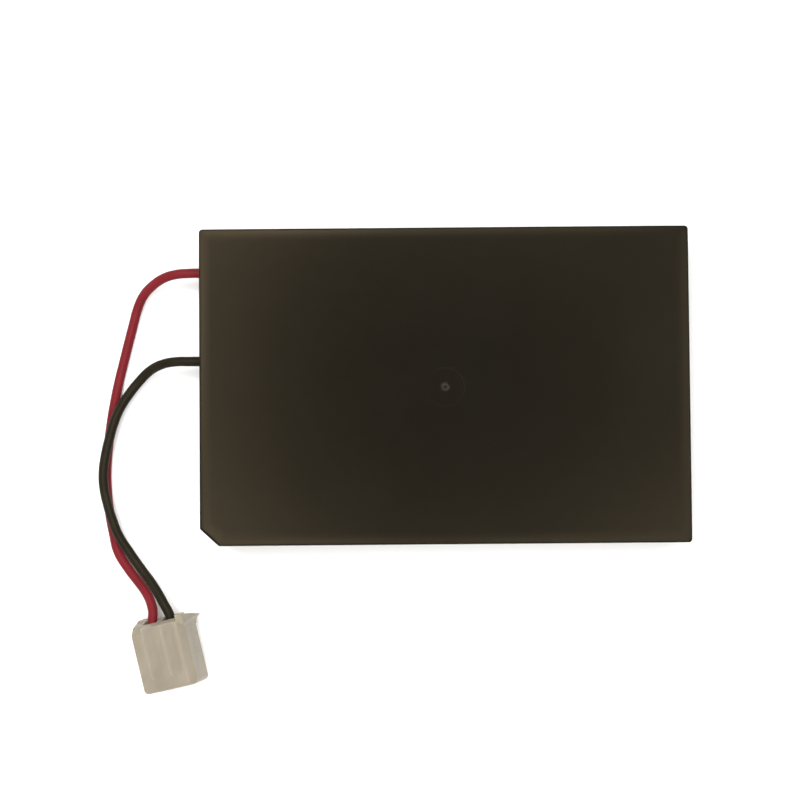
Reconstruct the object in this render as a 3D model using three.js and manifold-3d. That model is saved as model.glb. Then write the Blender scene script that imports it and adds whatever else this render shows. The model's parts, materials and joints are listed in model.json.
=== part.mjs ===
// A rigid-cased lithium polymer battery pack: one pouch cell and its protection board, closed in a
// two-part moulded case, with a red and a black lead that end in a two-way crimp housing.
//
// Millimetres, +Z up. The origin is at the bottom centre of the case. X runs along the case's long
// side, Y along its short side. The leads leave the -X wall, lie on the surface that the case
// stands on, and the housing at their end lies beyond the case's keyed (-X, -Y) corner.
import * as THREE from 'three';
import { mergeVertices } from 'three/addons/utils/BufferGeometryUtils.js';
import Module from 'manifold-3d';

const wasm = await Module();
wasm.setup();

// ---- driving dimensions ---------------------------------------------------------------------

// Case
const CASE_X = 60;
const CASE_Y = 38.8;
const CASE_Z = 8;
const CORNER_R = 0.45;
const TOP_EDGE_R = 0.25;
const KEY_X = 2.3;
const KEY_Y = 2.1;
const WALL = 1.4;
const TOP_WALL = 1;
const RIM_WALL = 1;
const COVER_T = 1;
const COVER_FIT = 0.15;
const STACK_GAP = 0.05;
const LEDGE_Z = COVER_T + STACK_GAP;
const LABEL = { x: 50, y: 30, recess: 0.2, t: 0.15, fit: 0.2 };

// Injection gate mark near the middle of the top face
const GATE_AT = [0.09, -0.2];
const GATE_DISH_R = 2.45;
const GATE_DISH_DEPTH = 0.02;
const GATE_STUB_R = 0.5;
const GATE_STUB_H = 0.075;

// Leads
const LEAD_D = 1.2;
const STRAND_D = 0.5;
const LEAD_HOLE_D = 1.6;
const LEAD_Z = 4;
const RED_Y = 14.4;
const BLACK_Y = 3.4;
const LEAD_SIDES = 8;

// Cell: heights are of the faces above the case's base
const FILM = 0.15;
const CELL = { x0: -19.8, x1: 27.6, y: 16.9, z0: 1.4, z1: 6.3 };
const TERRACE_X = -23.6;
const TERRACE_Z = 1.85;
const FOLD_TOP = 5;
const FOAM_PAD = { x0: -16, x1: 24, y: 13, t: 0.3 };
const FOAM_TAPE = { x0: -14, x1: 22, y: 12 };
const ROLL = { x0: -18.6, x1: 27, z: 3.9, halfWidth: 16.4 };
const ROLL_HALF_TURNS = 6;
const STRIP_T = 0.09;
const STRIP_PITCH = 0.14;
const ROLL_CORE_R = 0.15;
const STRIP_NAMES = ['anode_strip', 'inner_separator', 'cathode_strip', 'outer_separator'];
const TAB_Y = 8;
const TAB_W = 4;
const TAB_T = 0.08;
const TAB_Z = 1.7;
const TAB_RISE_X = -24.1;
const SEALANT = { x0: -23.95, x1: -20.4, halfY: 2.8, halfZ: 0.12, slotZ: 0.07, fit: 0.1 };
const END_TAPE = { x0: -4, x1: 16, y0: -6, y1: 10, z0: 6.08, z1: 6.13 };

// Protection board
const BOARD = { x0: -28.2, x1: -21.4, y0: -13, y1: 17, z0: 2.5, z1: 3.3 };
const BOARD_NOTCH = 0.8;
const BOARD_TAPE = { top: 4.9, t: 0.08, backX: -20.4, backZ: 2.5, margin: 0.5 };
const INSULATOR = { x0: -23.7, x1: -20.3, y0: -14, y1: 16, z0: 2.1, z1: 2.3 };
const PLATE = { x0: -27.4, x1: -24.8, y: 5, z0: 2.2, z1: 2.45 };
const SWITCH_CHIP = { x: -23.9, y: 9, sizeX: 3, sizeY: 4.4, sizeZ: 1, legs: 4 };
const CONTROLLER_CHIP = { x: -23.9, y: -1, sizeX: 1.6, sizeY: 2.9, sizeZ: 1.1, legs: 3 };
const SENSE_RESISTOR = { x: -25.4, y: -5, sizeX: 0.5, sizeY: 1, sizeZ: 0.35 };
const SUPPLY_RESISTOR = { x: -23.4, y: -5, sizeX: 0.5, sizeY: 1, sizeZ: 0.35 };
const FILTER_CAPACITOR = { x: -24.4, y: -8, sizeX: 0.8, sizeY: 1.6, sizeZ: 0.8 };
const LEG = { reach: 0.5, t: 0.15, bodyLift: 0.05 };
const SOLDER = { x: -26.5, r: 0.85, h: 0.33 };
const BOARD_STRANDS = { x0: -27.5, x1: -25.7 };

// Crimp housing, in its own frame: X from the wire end to the mating end, Y across, Z up
const PLUG_AT = [-37.92, -28.94, -0.06];
const PLUG_HEADING = -76.7;
const PLUG_ROLL = 13;
const PLUG_L = 8.7;
const PLUG_W = 6.8;
const PLUG_T = 5.4;
const PLUG_EDGE = 0.3;
const PLUG_SHOULDER = 0.8;
const WAY_PITCH = 2.5;
const WAY_Z = PLUG_T / 2;
const WAY_W = 1.8;
const WAY_H = 2.4;
const WAY_DEPTH = 7.6;
const PIN_ENTRY = 1;
const MOUTH = { z: 2.6, back: 0.7 };
const EAR = { y: 6.1, z0: -0.25, z1: 5.38, back: -0.1, foot: 1.7, tip: 0.6, reach: 0.8 };
const EAR_FALL = { y: 0.1, z: 0.45 };
const EAR_SLOPE_X = 0.8;
const LUG = { foot: 0.3, end: 1.4, reach: 0.34, tipY: 0.35, z0: 0.1 };
const GROOVE = { w: 1.7, depth: 0.12, end: 7.2 };
const WINDOW = { x0: 3.2, x1: 4.8, w: 1 };
const WAYS = [PLUG_W / 2 - WAY_PITCH / 2, PLUG_W / 2 + WAY_PITCH / 2];
const PLUG_STRANDS = { x0: 1.65, x1: 3.3 };

// Crimp terminal: its sheet, its floor strip, its two pairs of crimp ears and its box socket
const CONTACT = { z: 1.62, sheet: 0.16, x0: 0.7, x1: 7.3, halfY: 0.4 };
const INSULATION_CRIMP = { x0: 0.6, x1: 1.4, inner: 0.68, top: 3.1 };
const CONDUCTOR_CRIMP = { x0: 1.9, x1: 3.2, inner: 0.4, top: 2.9 };
const SOCKET = { x0: 3.9, halfY: 0.62, top: 3.5 };

// Route of each lead's centreline, from its stripped end at the board to its stripped end in the
// housing. The black lead lies over the red one where they cross.
const RED_ROUTE = [
  [-27.6, RED_Y, LEAD_Z],
  [-29.5, 14.4, 4],
  [-31.6, 14.4, 3.95],
  [-33.3, 14.3, 3.65],
  [-34.9, 13.9, 2.95],
  [-36.4, 13.05, 2.05],
  [-37.6, 11.9, 1.25],
  [-38.4, 10.3, 0.8],
  [-39, 8.2, 0.62],
  [-39.6, 5.9, 0.61],
  [-40.2, 3.5, 0.61],
  [-40.8, 1.1, 0.61],
  [-41.3, -1.3, 0.61],
  [-41.75, -3.9, 0.61],
  [-42.1, -6.7, 0.61],
  [-42.35, -9.8, 0.61],
  [-42.3, -12.5, 0.61],
  [-42, -15.2, 0.61],
  [-41.5, -17.9, 0.62],
  [-40.95, -20.1, 0.71],
  [-39.6, -22.3, 0.98],
  [-38.3, -23.9, 1.5],
  [-37.2, -25.3, 2.2],
  [-36.5, -26.75, 2.8],
  [-36.32, -27.69, 3.05],
  [-36.38, -28.68, 3.07],
  [-36.2, -29.77, 3.05],
];
const BLACK_ROUTE = [
  [-27.6, BLACK_Y, LEAD_Z],
  [-29.5, 3.4, 4],
  [-31.6, 3.42, 3.95],
  [-33.4, 3.42, 3.6],
  [-35.1, 3.15, 2.95],
  [-36.7, 2.4, 2.2],
  [-38.2, 1, 1.68],
  [-39.5, -0.6, 1.55],
  [-40.5, -2.2, 1.71],
  [-41.25, -4, 1.87],
  [-41.8, -5.9, 1.9],
  [-42.3, -8, 1.9],
  [-42.6, -10.3, 1.9],
  [-42.5, -12.2, 1.9],
  [-42.1, -14.1, 1.9],
  [-41.5, -16.1, 1.9],
  [-40.7, -18.1, 1.88],
  [-39.4, -20.15, 1.9],
  [-37.9, -22.25, 2.2],
  [-36.6, -23.9, 2.74],
  [-35.6, -25.35, 3.25],
  [-34.8, -26.75, 3.55],
  [-34.35, -27.55, 3.61],
  [-34.08, -28.29, 3.61],
  [-33.83, -29.21, 3.62],
];

// Facets along the ear's hook and along each lead
const EAR_STEPS = 5;
const LEAD_STEPS = 30;

// ---- materials ------------------------------------------------------------------------------

const finish = (color, roughness, metalness = 0) =>
  new THREE.MeshStandardMaterial({ color, roughness, metalness });

const MATERIALS = {
  case: finish(0x2c2920, 0.6),
  label: finish(0xd8d6cf, 0.55),
  foam: finish(0x3a3a3c, 0.95),
  pouch: finish(0xb9babc, 0.35, 0.7),
  anode: finish(0x2a2a2c, 0.8),
  cathode: finish(0x3a3836, 0.8),
  separator: finish(0xe9e9e6, 0.6),
  tape: finish(0xb07a26, 0.35),
  aluminium: finish(0xc8cacc, 0.35, 1),
  nickel: finish(0xa9a69e, 0.35, 1),
  sealant: finish(0xd7d8d0, 0.5),
  paper: finish(0xc9c4a8, 0.85),
  board: finish(0x1f4d33, 0.5),
  chip: finish(0x1c1c1e, 0.5),
  ceramic: finish(0x8a7c66, 0.5),
  solder: finish(0xb4b6b8, 0.3, 1),
  copper: finish(0xc07a4c, 0.35, 1),
  redLead: finish(0x922f34, 0.45),
  blackLead: finish(0x2c281e, 0.45),
  nylon: finish(0xb5ab97, 0.4),
  tin: finish(0xbcbcb8, 0.3, 1),
};

// ---- solids ---------------------------------------------------------------------------------

function toSolid(geometry) {
  const bare = geometry.clone();
  bare.deleteAttribute('normal');
  bare.deleteAttribute('uv');
  const merged = mergeVertices(bare, 1e-4);
  return new wasm.Manifold(new wasm.Mesh({
    numProp: 3,
    vertProperties: new Float32Array(merged.attributes.position.array),
    triVerts: new Uint32Array(merged.index.array),
  }));
}

function toGeometry(solid) {
  const mesh = solid.getMesh();
  const geometry = new THREE.BufferGeometry();
  geometry.setAttribute('position', new THREE.BufferAttribute(mesh.vertProperties, 3));
  geometry.setIndex(new THREE.BufferAttribute(mesh.triVerts, 1));
  geometry.computeVertexNormals();
  return geometry;
}

function cut(base, ...tools) {
  return toGeometry(tools.reduce((solid, tool) => solid.subtract(toSolid(tool)), toSolid(base)));
}

function join(base, ...others) {
  return toGeometry(others.reduce((solid, other) => solid.add(toSolid(other)), toSolid(base)));
}

// A box between two opposite corners.
function block(x0, x1, y0, y1, z0, z1) {
  const geometry = new THREE.BoxGeometry(x1 - x0, y1 - y0, z1 - z0);
  return geometry.translate((x0 + x1) / 2, (y0 + y1) / 2, (z0 + z1) / 2);
}

// A box from its named faces.
function slab({ x0, x1, y0, y1, z0, z1 }) {
  return block(x0, x1, y0, y1, z0, z1);
}

// A round bar along X.
function bar(x0, x1, y, z, diameter, sides) {
  const geometry = new THREE.CylinderGeometry(diameter / 2, diameter / 2, x1 - x0, sides);
  return geometry.rotateZ(Math.PI / 2).translate((x0 + x1) / 2, y, z);
}

// A round disc standing on z0.
function disc(x, y, z0, z1, radius, sides) {
  const geometry = new THREE.CylinderGeometry(radius, radius, z1 - z0, sides);
  return geometry.rotateX(Math.PI / 2).translate(x, y, (z0 + z1) / 2);
}

function polygon(points) {
  return new THREE.Shape(points.map(([x, y]) => new THREE.Vector2(x, y)));
}

// A polygon in the X-Y plane, extruded between two Z positions.
function planProfile(points, z0, z1) {
  const geometry = new THREE.ExtrudeGeometry(polygon(points), { depth: z1 - z0, bevelEnabled: false });
  return geometry.translate(0, 0, z0);
}

// A polygon in the X-Z plane, extruded between two Y positions.
function sideProfile(points, y0, y1) {
  const geometry = new THREE.ExtrudeGeometry(polygon(points), { depth: y1 - y0, bevelEnabled: false });
  return geometry.rotateX(Math.PI / 2).translate(0, y1, 0);
}

// A polygon in the Y-Z plane, extruded between two X positions.
function endProfile(points, x0, x1) {
  const geometry = new THREE.ExtrudeGeometry(polygon(points), { depth: x1 - x0, bevelEnabled: false });
  return geometry.rotateZ(Math.PI / 2).rotateY(Math.PI / 2).translate(x0, 0, 0);
}

// The case's plan outline, drawn in by an inset: three rounded corners and the cut keying corner.
function caseOutline(inset, radius) {
  const x = CASE_X / 2 - inset;
  const y = CASE_Y / 2 - inset;
  const keyX = KEY_X - inset * 0.5;
  const keyY = KEY_Y - inset * 0.5;
  const shape = new THREE.Shape();
  shape.moveTo(-x + keyX, -y);
  shape.lineTo(x - radius, -y);
  shape.absarc(x - radius, -y + radius, radius, -Math.PI / 2, 0);
  shape.absarc(x - radius, y - radius, radius, 0, Math.PI / 2);
  shape.absarc(-x + radius, y - radius, radius, Math.PI / 2, Math.PI);
  shape.lineTo(-x, -y + keyY);
  shape.closePath();
  return shape;
}

function casePlate(inset, radius, z0, z1) {
  const options = { depth: z1 - z0, bevelEnabled: false, curveSegments: 3 };
  return new THREE.ExtrudeGeometry(caseOutline(inset, radius), options).translate(0, 0, z0);
}

// ---- case -----------------------------------------------------------------------------------

// The outer block has its top edge rounded. It starts below the base, and the cut makes it flat.
function caseShell() {
  const below = 2;
  const dishZ = CASE_Z - GATE_DISH_DEPTH;
  const options = {
    depth: CASE_Z + below - 2 * TOP_EDGE_R,
    curveSegments: 3,
    bevelThickness: TOP_EDGE_R,
    bevelSize: TOP_EDGE_R,
    bevelOffset: -TOP_EDGE_R,
    bevelSegments: 3,
  };
  const outer = new THREE.ExtrudeGeometry(caseOutline(0, CORNER_R), options);
  outer.translate(0, 0, TOP_EDGE_R - below);
  const hollow = cut(
    outer,
    block(-CASE_X, CASE_X, -CASE_Y, CASE_Y, -2 * below, 0),
    casePlate(WALL, 0.3, LEDGE_Z - 0.01, CASE_Z - TOP_WALL),
    casePlate(RIM_WALL, 0.35, -1, LEDGE_Z),
    bar(-CASE_X / 2 - 1, -CASE_X / 2 + WALL + 1, RED_Y, LEAD_Z, LEAD_HOLE_D, 16),
    bar(-CASE_X / 2 - 1, -CASE_X / 2 + WALL + 1, BLACK_Y, LEAD_Z, LEAD_HOLE_D, 16),
    disc(...GATE_AT, dishZ, CASE_Z + 1, GATE_DISH_R, 32),
  );
  return join(hollow, disc(...GATE_AT, dishZ - 0.2, dishZ + GATE_STUB_H, GATE_STUB_R, 16));
}

// The cover drops into the rim against the shell's ledge. Its outer face has the label's recess.
function caseCover() {
  return cut(
    casePlate(RIM_WALL + COVER_FIT, 0.3, 0, COVER_T),
    block(-LABEL.x / 2, LABEL.x / 2, -LABEL.y / 2, LABEL.y / 2, -1, LABEL.recess),
  );
}

function blankLabel() {
  const x = LABEL.x / 2 - LABEL.fit;
  const y = LABEL.y / 2 - LABEL.fit;
  return block(-x, x, -y, y, 0, LABEL.t);
}

// ---- cell -----------------------------------------------------------------------------------

// The deep-drawn half of the pouch. Its open side faces the flat sheet, and its flange at the tab
// end is the sealed terrace that the tabs come out of.
function pouchCup() {
  const { x0, x1, y, z0, z1 } = CELL;
  const mouth = z0 + FILM + STACK_GAP;
  const cup = cut(
    block(x0, x1, -y, y, mouth, z1),
    block(x0 + FILM, x1 - FILM, -y + FILM, y - FILM, 0, z1 - FILM),
    block(x0 - 1, x0 + 2 * FILM, -y + FILM, y - FILM, 0, TERRACE_Z),
  );
  return join(cup, block(TERRACE_X, x0 + FILM / 2, -y, y, TERRACE_Z, TERRACE_Z + FILM));
}

// The flat half of the pouch. Along the cup, both its long edges are folded up against the sides.
function pouchSheet() {
  const { x0, x1, y, z0 } = CELL;
  const edge = y + STACK_GAP + FILM;
  const profile = [
    [-edge, z0],
    [edge, z0],
    [edge, FOLD_TOP],
    [edge - FILM, FOLD_TOP],
    [edge - FILM, z0 + FILM],
    [-edge + FILM, z0 + FILM],
    [-edge + FILM, FOLD_TOP],
    [-edge, FOLD_TOP],
  ];
  return join(endProfile(profile, x0, x1), block(TERRACE_X, x0 + 1, -y, y, z0, z0 + FILM));
}

// One strip of the flat-wound roll, as its section in the Y-Z plane: a spiral of half circles about
// two centres, joined by straight runs. The four strips start one strip pitch apart. The roll is at
// its widest a quarter turn before its end.
function rollStrip(index) {
  const arcSteps = 6;
  const turnPitch = STRIP_NAMES.length * STRIP_PITCH;
  const widestTurn = ROLL_HALF_TURNS / 2 - 0.25;
  const outerR = ROLL_CORE_R + (STRIP_NAMES.length - 1) * STRIP_PITCH + widestTurn * turnPitch;
  const centre = ROLL.halfWidth - outerR - STRIP_T / 2;
  const side = (offset) => {
    const points = [];
    for (let half = 0; half < ROLL_HALF_TURNS; half += 1) {
      const centreY = half % 2 === 0 ? centre : -centre;
      for (let step = 0; step <= arcSteps; step += 1) {
        const turn = (half + step / arcSteps) / 2;
        const angle = 2 * Math.PI * (turn - 0.25);
        const radius = ROLL_CORE_R + index * STRIP_PITCH + turn * turnPitch + offset;
        points.push([centreY + radius * Math.cos(angle), ROLL.z + radius * Math.sin(angle)]);
      }
    }
    return points;
  };
  const outline = [...side(STRIP_T / 2), ...side(-STRIP_T / 2).reverse()];
  return endProfile(outline, ROLL.x0, ROLL.x1);
}

// A tab runs flat through the seal, steps up past the terrace and ends under its weld plate.
function cellTab(y) {
  const topX = TAB_RISE_X - 0.6;
  const topZ = PLATE.z0 - STACK_GAP - TAB_T / 2;
  const half = TAB_T / 2;
  const profile = [
    [ROLL.x0 - 0.3, TAB_Z - half],
    [ROLL.x0 - 0.3, TAB_Z + half],
    [TAB_RISE_X, TAB_Z + half],
    [topX, topZ + half],
    [PLATE.x0 + 0.2, topZ + half],
    [PLATE.x0 + 0.2, topZ - half],
    [topX, topZ - half],
    [TAB_RISE_X, TAB_Z - half],
  ];
  return sideProfile(profile, y - TAB_W / 2, y + TAB_W / 2);
}

function tabSealant(y) {
  const { x0, x1, halfY, halfZ, slotZ, fit } = SEALANT;
  const slotY = TAB_W / 2 + fit;
  const sleeve = block(x0, x1, y - halfY, y + halfY, TAB_Z - halfZ, TAB_Z + halfZ);
  return cut(sleeve, block(x0 - 1, x1 + 1, y - slotY, y + slotY, TAB_Z - slotZ, TAB_Z + slotZ));
}

// ---- protection board -----------------------------------------------------------------------

function protectionBoard() {
  const { x0, x1, y0, y1, z0, z1 } = BOARD;
  return cut(
    block(x0, x1, y0, y1, z0, z1),
    block(x1 - BOARD_NOTCH, x1 + 1, y1 - 2 * BOARD_NOTCH, y1 + 1, z0 - 1, z1 + 1),
    block(x1 - BOARD_NOTCH, x1 + 1, y0 - 1, y0 + 2 * BOARD_NOTCH, z0 - 1, z1 + 1),
  );
}

// A chip package with two rows of legs along Y, standing just above the board.
function chip({ x, y, sizeX, sizeY, sizeZ, legs }) {
  const z = BOARD.z1 + STACK_GAP;
  const legPitch = sizeY / legs;
  const reach = sizeX / 2 + LEG.reach;
  const parts = [];
  for (let leg = 0; leg < legs; leg += 1) {
    const legY = y - sizeY / 2 + legPitch * (leg + 0.5);
    parts.push(block(x - reach, x + reach, legY - legPitch / 5, legY + legPitch / 5, z, z + LEG.t));
  }
  const bodyZ = z + LEG.bodyLift;
  const body = block(x - sizeX / 2, x + sizeX / 2, y - sizeY / 2, y + sizeY / 2, bodyZ, z + sizeZ);
  return join(body, ...parts);
}

function smallPart({ x, y, sizeX, sizeY, sizeZ }) {
  const z = BOARD.z1 + STACK_GAP;
  return block(x - sizeX / 2, x + sizeX / 2, y - sizeY / 2, y + sizeY / 2, z, z + sizeZ);
}

// The solder under a lead's strands, as a low dome on the board.
function solderJoint(y) {
  const steps = 3;
  const profile = [new THREE.Vector2(0, 0)];
  for (let step = 0; step <= steps; step += 1) {
    const angle = (step / steps) * (Math.PI / 2);
    const last = step === steps;
    profile.push(new THREE.Vector2(last ? 0 : SOLDER.r * Math.cos(angle), SOLDER.h * Math.sin(angle)));
  }
  const dome = new THREE.LatheGeometry(profile, 12).rotateX(Math.PI / 2);
  return dome.translate(SOLDER.x, y, BOARD.z1 + STACK_GAP);
}

// Polyimide tape over the parts on the board, turned down between the board and the cell.
function boardTape() {
  const { top, t, backX, backZ, margin } = BOARD_TAPE;
  const profile = [
    [BOARD.x0, top],
    [backX, top],
    [backX, backZ],
    [backX + t, backZ],
    [backX + t, top + t],
    [BOARD.x0, top + t],
  ];
  return sideProfile(profile, BOARD.y0 + margin, BOARD.y1 - margin);
}

// ---- leads ----------------------------------------------------------------------------------

function leadTube(route) {
  const path = new THREE.CatmullRomCurve3(route.map(([x, y, z]) => new THREE.Vector3(x, y, z)));
  const section = new THREE.Shape();
  for (let side = 0; side < LEAD_SIDES; side += 1) {
    const angle = (2 * Math.PI * side) / LEAD_SIDES;
    const x = (LEAD_D / 2) * Math.cos(angle);
    const y = (LEAD_D / 2) * Math.sin(angle);
    if (side === 0) section.moveTo(x, y);
    else section.lineTo(x, y);
  }
  section.closePath();
  return new THREE.ExtrudeGeometry(section, { steps: LEAD_STEPS, extrudePath: path });
}

// ---- crimp housing --------------------------------------------------------------------------

// The block's long edges are chamfered, one of them broadly. Its wire end is cut back aslant over the
// ways, between a low lug at one corner and a hooked ear at the other, which leans back and flares out
// towards its foot. There are two shallow grooves in the upper face, two terminal ways and a lance
// window under each.
function plugHousing() {
  const section = [
    [PLUG_EDGE, 0],
    [PLUG_W - PLUG_EDGE, 0],
    [PLUG_W, PLUG_EDGE],
    [PLUG_W, PLUG_T - PLUG_SHOULDER],
    [PLUG_W - PLUG_SHOULDER, PLUG_T],
    [PLUG_EDGE, PLUG_T],
    [0, PLUG_T - PLUG_EDGE],
    [0, PLUG_EDGE],
  ];
  const earPoints = [
    [EAR.back, EAR.y],
    [EAR.foot, EAR.y],
  ];
  for (let step = 0; step <= EAR_STEPS; step += 1) {
    const t = step / EAR_STEPS;
    earPoints.push([EAR.foot + (EAR.tip - EAR.foot) * t, PLUG_W - 0.02 + EAR.reach * t ** 2.2]);
  }
  earPoints.push([0.3, PLUG_W + EAR.reach], [EAR.back, PLUG_W + 0.6 * EAR.reach]);
  const ear = planProfile(earPoints, EAR.z0, EAR.z1);
  const lugPoints = [
    [LUG.foot, 0.02],
    [LUG.foot, LUG.end],
    [0, LUG.end],
    [-LUG.reach, LUG.tipY],
    [-0.05, 0.05],
  ];
  const lug = planProfile(lugPoints, LUG.z0, MOUTH.z - LUG.z0);
  const fallY = PLUG_W - PLUG_SHOULDER;
  const fall = [
    [fallY, PLUG_T],
    [PLUG_W + EAR_FALL.y, PLUG_T - EAR_FALL.z],
    [PLUG_W + EAR.reach, 0],
    [PLUG_W + EAR.reach, EAR.z0 - 1],
    [PLUG_W + 3, EAR.z0 - 1],
    [PLUG_W + 3, PLUG_T + 1],
    [fallY, PLUG_T + 1],
  ];
  const slope = [
    [EAR_SLOPE_X, PLUG_T],
    [EAR.foot, PLUG_T - PLUG_SHOULDER],
    [2, PLUG_T - PLUG_SHOULDER],
    [2, PLUG_T + 1],
    [EAR_SLOPE_X, PLUG_T + 1],
  ];
  const lean = [
    [-1, EAR.z0 - 1],
    [EAR.tip, EAR.z0 - 1],
    [EAR.tip - 0.02, 0],
    [0.2, MOUTH.z],
    [EAR.back, PLUG_T],
    [-1, PLUG_T],
  ];
  const mouth = [
    [-1, MOUTH.z],
    [0, MOUTH.z],
    [MOUTH.back, PLUG_T],
    [MOUTH.back, PLUG_T + 1],
    [-1, PLUG_T + 1],
  ];
  const leanY = WAYS[1] + WAY_W / 2;
  const tools = [sideProfile(mouth, -1, EAR.y), sideProfile(lean, leanY, PLUG_W + 1)];
  const pin = PIN_ENTRY / 2;
  for (const y of WAYS) {
    tools.push(
      block(-1, WAY_DEPTH, y - WAY_W / 2, y + WAY_W / 2, WAY_Z - WAY_H / 2, WAY_Z + WAY_H / 2),
      block(WAY_DEPTH - 0.1, PLUG_L + 1, y - pin, y + pin, WAY_Z - pin, WAY_Z + pin),
      block(-1, GROOVE.end, y - GROOVE.w / 2, y + GROOVE.w / 2, PLUG_T - GROOVE.depth, PLUG_T + 1),
      block(WINDOW.x0, WINDOW.x1, y - WINDOW.w / 2, y + WINDOW.w / 2, -1, WAY_Z),
    );
  }
  const shapedEar = cut(ear, endProfile(fall, -1, 3), sideProfile(slope, 5, PLUG_W + 2));
  return cut(join(endProfile(section, 0, PLUG_L), shapedEar, lug), ...tools);
}

// A stamped crimp terminal: a floor strip, an insulation crimp, a conductor crimp and a box socket.
function contact(y) {
  const { z, sheet, x0, x1, halfY } = CONTACT;
  const crimp = ({ x0: start, x1: end, inner, top }) => [
    block(start, end, y - inner - sheet, y - inner, z, top),
    block(start, end, y + inner, y + inner + sheet, z, top),
    block(start, end, y - inner - sheet, y + inner + sheet, z, z + sheet),
  ];
  const inside = SOCKET.halfY - sheet;
  const socket = cut(
    block(SOCKET.x0, x1, y - SOCKET.halfY, y + SOCKET.halfY, z, SOCKET.top),
    block(SOCKET.x0 - 1, x1 + 1, y - inside, y + inside, z + sheet, SOCKET.top - sheet),
  );
  return join(
    block(x0, x1, y - halfY, y + halfY, z, z + sheet),
    ...crimp(INSULATION_CRIMP),
    ...crimp(CONDUCTOR_CRIMP),
    socket,
  );
}

// ---- assembly -------------------------------------------------------------------------------

function part(name, geometry, material) {
  const mesh = new THREE.Mesh(geometry, material);
  mesh.name = name;
  return mesh;
}

const casework = new THREE.Group();
casework.add(
  part('case_shell', caseShell(), MATERIALS.case),
  part('case_cover', caseCover(), MATERIALS.case),
  part('blank_label', blankLabel(), MATERIALS.label),
);

const cell = new THREE.Group();
const padTop = CELL.z0 - STACK_GAP;
const padBase = padTop - FOAM_PAD.t + STACK_GAP;
const tapeBase = CELL.z1 + STACK_GAP;
const tapeTop = CASE_Z - TOP_WALL - STACK_GAP;
const foamPad = block(FOAM_PAD.x0, FOAM_PAD.x1, -FOAM_PAD.y, FOAM_PAD.y, padBase, padTop);
const foamTape = block(FOAM_TAPE.x0, FOAM_TAPE.x1, -FOAM_TAPE.y, FOAM_TAPE.y, tapeBase, tapeTop);
cell.add(
  part('cell_foam_pad', foamPad, MATERIALS.foam),
  part('cell_foam_tape', foamTape, MATERIALS.foam),
  part('pouch_cup', pouchCup(), MATERIALS.pouch),
  part('pouch_sheet', pouchSheet(), MATERIALS.pouch),
  part('roll_end_tape', slab(END_TAPE), MATERIALS.tape),
  part('positive_tab', cellTab(TAB_Y), MATERIALS.aluminium),
  part('negative_tab', cellTab(-TAB_Y), MATERIALS.nickel),
  part('positive_tab_sealant', tabSealant(TAB_Y), MATERIALS.sealant),
  part('negative_tab_sealant', tabSealant(-TAB_Y), MATERIALS.sealant),
);
const stripMaterials = [MATERIALS.anode, MATERIALS.separator, MATERIALS.cathode, MATERIALS.separator];
STRIP_NAMES.forEach((name, index) => cell.add(part(name, rollStrip(index), stripMaterials[index])));

const board = new THREE.Group();
const plate = (y) => block(PLATE.x0, PLATE.x1, y - PLATE.y / 2, y + PLATE.y / 2, PLATE.z0, PLATE.z1);
board.add(
  part('protection_board', protectionBoard(), MATERIALS.board),
  part('board_insulator', slab(INSULATOR), MATERIALS.paper),
  part('board_tape', boardTape(), MATERIALS.tape),
  part('switch_chip', chip(SWITCH_CHIP), MATERIALS.chip),
  part('controller_chip', chip(CONTROLLER_CHIP), MATERIALS.chip),
  part('sense_resistor', smallPart(SENSE_RESISTOR), MATERIALS.ceramic),
  part('supply_resistor', smallPart(SUPPLY_RESISTOR), MATERIALS.ceramic),
  part('filter_capacitor', smallPart(FILTER_CAPACITOR), MATERIALS.ceramic),
  part('positive_weld_plate', plate(TAB_Y), MATERIALS.nickel),
  part('negative_weld_plate', plate(-TAB_Y), MATERIALS.nickel),
  part('positive_solder_joint', solderJoint(RED_Y), MATERIALS.solder),
  part('negative_solder_joint', solderJoint(BLACK_Y), MATERIALS.solder),
);

const leads = new THREE.Group();
const boardStrands = (y) => bar(BOARD_STRANDS.x0, BOARD_STRANDS.x1, y, LEAD_Z, STRAND_D, 8);
leads.add(
  part('red_lead', leadTube(RED_ROUTE), MATERIALS.redLead),
  part('black_lead', leadTube(BLACK_ROUTE), MATERIALS.blackLead),
  part('red_board_strands', boardStrands(RED_Y), MATERIALS.copper),
  part('black_board_strands', boardStrands(BLACK_Y), MATERIALS.copper),
);

// The housing lies on one long lower edge and on its ear, so it is rolled a little to one side.
const plug = new THREE.Group();
const degrees = THREE.MathUtils.degToRad;
plug.position.set(...PLUG_AT);
plug.rotation.set(degrees(PLUG_ROLL), 0, degrees(PLUG_HEADING), 'ZYX');
const plugStrands = (y) => bar(PLUG_STRANDS.x0, PLUG_STRANDS.x1, y, WAY_Z, STRAND_D, 8);
plug.add(
  part('plug_housing', plugHousing(), MATERIALS.nylon),
  part('red_contact', contact(WAYS[0]), MATERIALS.tin),
  part('black_contact', contact(WAYS[1]), MATERIALS.tin),
  part('red_plug_strands', plugStrands(WAYS[0]), MATERIALS.copper),
  part('black_plug_strands', plugStrands(WAYS[1]), MATERIALS.copper),
);

const pack = new THREE.Group();
pack.add(casework, cell, board, leads, plug);

export default pack;
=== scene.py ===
"""A rigid-cased lithium polymer battery pack, seen from above, with two leads and a crimp housing.

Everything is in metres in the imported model's frame: X along the case, Y across it, Z up.
"""
import json
import math

import bmesh
import bpy
from mathutils import Matrix, Vector


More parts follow.
